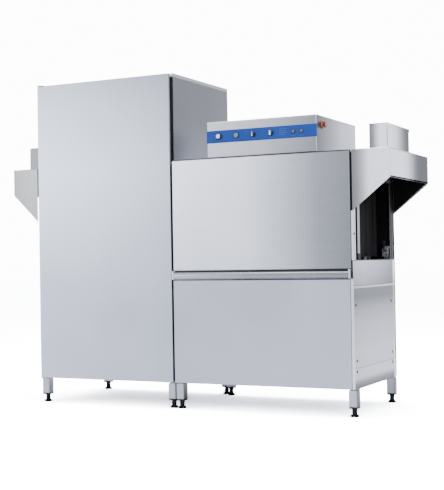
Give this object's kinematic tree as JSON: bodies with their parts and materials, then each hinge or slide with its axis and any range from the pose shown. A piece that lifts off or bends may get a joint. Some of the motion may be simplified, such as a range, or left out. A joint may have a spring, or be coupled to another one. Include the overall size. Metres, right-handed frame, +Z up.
{
  "type": "commercial dishwasher",
  "caption": "Rack conveyor dishwasher with a lift-up wash door, a tall dryer module, splash hoods, vent collars and a roof-mounted control box.",
  "frame": {"origin": "on the floor below the middle of the machine", "axes": "+X along the rack track towards the entry end, +Y to the back, +Z up"},
  "size_m": [2.514, 0.8099, 2.01],
  "materials": {
    "stainless": "fine brushed stainless sheet",
    "frame_steel": "satin stainless tube",
    "dark_steel": "dark coated steel",
    "blue_film": "satin blue control film",
    "black_rubber": "black rubber",
    "black_plastic": "black moulded plastic",
    "grey_plastic": "grey moulded plastic",
    "motor_paint": "semi-gloss motor paint",
    "copper_coil": "heat-tinted steel",
    "silver_knob": "turned aluminium",
    "green_button": "green-grey button",
    "amber_lens": "smoked amber lens",
    "estop_orange": "orange ring",
    "estop_red": "red mushroom button"
  },
  "bodies": {
    "machine": {"washer_frame": "frame_steel", "dryer_frame": "frame_steel", "leg_collars": "black_plastic", "levelling_feet": "black_plastic", "washer_roof": "stainless", "washer_back_panel": "stainless", "washer_front_panel": "stainless", "entry_end_panels": "stainless", "panel_screws": "frame_steel", "wash_chamber_liner": "stainless", "door_guides": "black_plastic", "wash_tank": "stainless", "strainer_trays": "stainless", "lower_wash_arms": "frame_steel", "upper_wash_arms": "frame_steel", "final_rinse_arms": "frame_steel", "wash_pump": "motor_paint", "wash_pipework": "frame_steel", "booster_heater": "frame_steel", "track_rails": "frame_steel", "gearmotor": "motor_paint", "rack_switch": "grey_plastic", "entry_hood": "stainless", "exit_hood": "stainless", "vent_collars": "stainless", "control_box": "stainless", "control_fascia": "blue_film", "control_gear": "grey_plastic", "pilot_lamps": "amber_lens", "estop_base": "estop_orange", "dryer_side_panels": "stainless", "dryer_roof": "stainless", "dryer_back_panel": "stainless", "dryer_liner": "stainless", "air_plenum": "stainless", "blower_housing": "motor_paint", "heater_coil": "copper_coil", "dryer_hinge_brackets": "frame_steel"},
    "wash_door": {"wash_door_panel": "stainless", "wash_door_grip": "stainless", "door_sliders": "grey_plastic"},
    "dryer_door": {"dryer_door_panel": "stainless", "dryer_door_gasket": "black_rubber", "dryer_hinge_pins": "frame_steel"},
    "power_switch": {"power_knob": "silver_knob"},
    "start_key": {"start_button": "green_button"},
    "mode_switch": {"mode_knob": "silver_knob"},
    "fill_switch": {"fill_knob": "silver_knob"},
    "emergency_stop": {"estop_button": "estop_red"},
    "entry_flap": {"entry_curtain": "black_rubber"},
    "middle_flap": {"middle_curtain": "black_rubber"},
    "exit_flap": {"exit_curtain": "black_rubber"},
    "rack_pusher": {"pawl_bar": "frame_steel"},
    "entry_dog": {"entry_pawl": "grey_plastic"},
    "exit_dog": {"exit_pawl": "grey_plastic"},
    "crank": {"drive_crank": "frame_steel"},
    "pump_shaft": {"pump_rotor": "frame_steel"},
    "fan": {"blower_wheel": "frame_steel"},
    "overflow": {"overflow_pipe": "frame_steel"},
    "switch_lever": {"rack_switch_lever": "frame_steel"}
  },
  "joints": [
    {"name": "wash_door_lift", "type": "slide", "parent": "machine", "child": "wash_door", "axis": [0, 0, 1], "range_m": [0, 0.45]},
    {"name": "dryer_door_swing", "type": "hinge", "parent": "machine", "child": "dryer_door", "pos_m": [-1.058, -0.371, 1], "axis": [0, 0, -1], "range_deg": [0, 105]},
    {"name": "power_switch_turn", "type": "hinge", "parent": "machine", "child": "power_switch", "pos_m": [0.188, -0.31, 1.611], "axis": [0, 1, 0], "range_deg": [0, 90]},
    {"name": "start_key_press", "type": "slide", "parent": "machine", "child": "start_key", "axis": [0, 1, 0], "range_m": [0, 0.003], "stiffness_N_per_m": 300, "springref_m": -0.004},
    {"name": "mode_switch_turn", "type": "hinge", "parent": "machine", "child": "mode_switch", "pos_m": [0.409, -0.31, 1.611], "axis": [0, 1, 0], "range_deg": [0, 90]},
    {"name": "fill_switch_turn", "type": "hinge", "parent": "machine", "child": "fill_switch", "pos_m": [0.522, -0.31, 1.611], "axis": [0, 1, 0], "range_deg": [0, 90]},
    {"name": "emergency_stop_press", "type": "slide", "parent": "machine", "child": "emergency_stop", "axis": [-1, 0, 0], "range_m": [0, 0.005], "stiffness_N_per_m": 600, "springref_m": -0.004},
    {"name": "entry_flap_swing", "type": "hinge", "parent": "machine", "child": "entry_flap", "pos_m": [0.965, 0, 1.32], "axis": [0, 1, 0], "range_deg": [-60, 60]},
    {"name": "middle_flap_swing", "type": "hinge", "parent": "machine", "child": "middle_flap", "pos_m": [-0.075, 0, 1.32], "axis": [0, 1, 0], "range_deg": [-60, 60]},
    {"name": "exit_flap_swing", "type": "hinge", "parent": "machine", "child": "exit_flap", "pos_m": [-1.05, 0, 1.32], "axis": [0, 1, 0], "range_deg": [-60, 60]},
    {"name": "crank_turn", "type": "hinge", "parent": "machine", "child": "crank", "pos_m": [-0.4, 0, 0.832], "axis": [0, 0, 1], "range_deg": [-28, 28]},
    {"name": "rack_pusher_travel", "type": "slide", "parent": "machine", "child": "rack_pusher", "axis": [1, 0, 0], "range_m": [-0.031, 0.031]},
    {"name": "entry_dog_tilt", "type": "hinge", "parent": "rack_pusher", "child": "entry_dog", "pos_m": [0.2, 0, 0.864], "axis": [0, -1, 0], "range_deg": [0, 20], "stiffness_Nm_per_rad": 0.2, "springref_deg": -22.92},
    {"name": "exit_dog_tilt", "type": "hinge", "parent": "rack_pusher", "child": "exit_dog", "pos_m": [-0.7, 0, 0.864], "axis": [0, -1, 0], "range_deg": [0, 20], "stiffness_Nm_per_rad": 0.2, "springref_deg": -22.92},
    {"name": "pump_spin", "type": "hinge", "parent": "machine", "child": "pump_shaft", "pos_m": [0.78, 0.14, 0.33], "axis": [1, 0, 0], "continuous": true},
    {"name": "fan_spin", "type": "hinge", "parent": "machine", "child": "fan", "pos_m": [-0.6, 0.02, 1.73], "axis": [1, 0, 0], "continuous": true},
    {"name": "overflow_lift", "type": "slide", "parent": "machine", "child": "overflow", "axis": [0, 0, 1], "range_m": [0, 0.08]},
    {"name": "switch_lever_tilt", "type": "hinge", "parent": "machine", "child": "switch_lever", "pos_m": [1.008, 0.27, 0.92], "axis": [0, 1, 0], "range_deg": [-20, 20], "stiffness_Nm_per_rad": 0.3}
  ],
  "couplings": [
    {"joint": "rack_pusher_travel", "follows": "crank_turn", "m_per_rad": 0.06}
  ]
}
